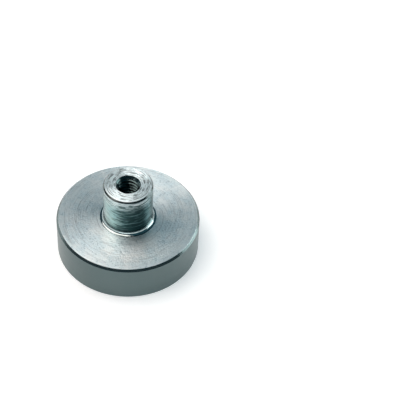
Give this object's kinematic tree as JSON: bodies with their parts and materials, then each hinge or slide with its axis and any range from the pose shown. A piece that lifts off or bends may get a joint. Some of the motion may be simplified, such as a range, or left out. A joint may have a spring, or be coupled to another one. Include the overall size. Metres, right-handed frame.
{
  "type": "pot magnet",
  "caption": "Round pot magnet: a disc magnet in a turned steel pot, with a tapped stem on its back for fixing it with a screw.",
  "frame": {"origin": "middle of the rim's plane, where the magnet meets what it holds", "axes": "+Z along the axis, from the rim up the stem; X and Y are free, because the part is round"},
  "size_m": [0.025, 0.025, 0.015],
  "materials": {
    "zinc_plated_steel": "turned steel, blue-white zinc plate, satin",
    "magnet_plating": "matt plated magnet, warm grey, finely speckled",
    "adhesive": "cured adhesive, dark"
  },
  "bodies": {
    "root": {"pot_body": "zinc_plated_steel", "magnet_disc": "magnet_plating", "adhesive_bed": "adhesive"}
  },
  "joints": []
}
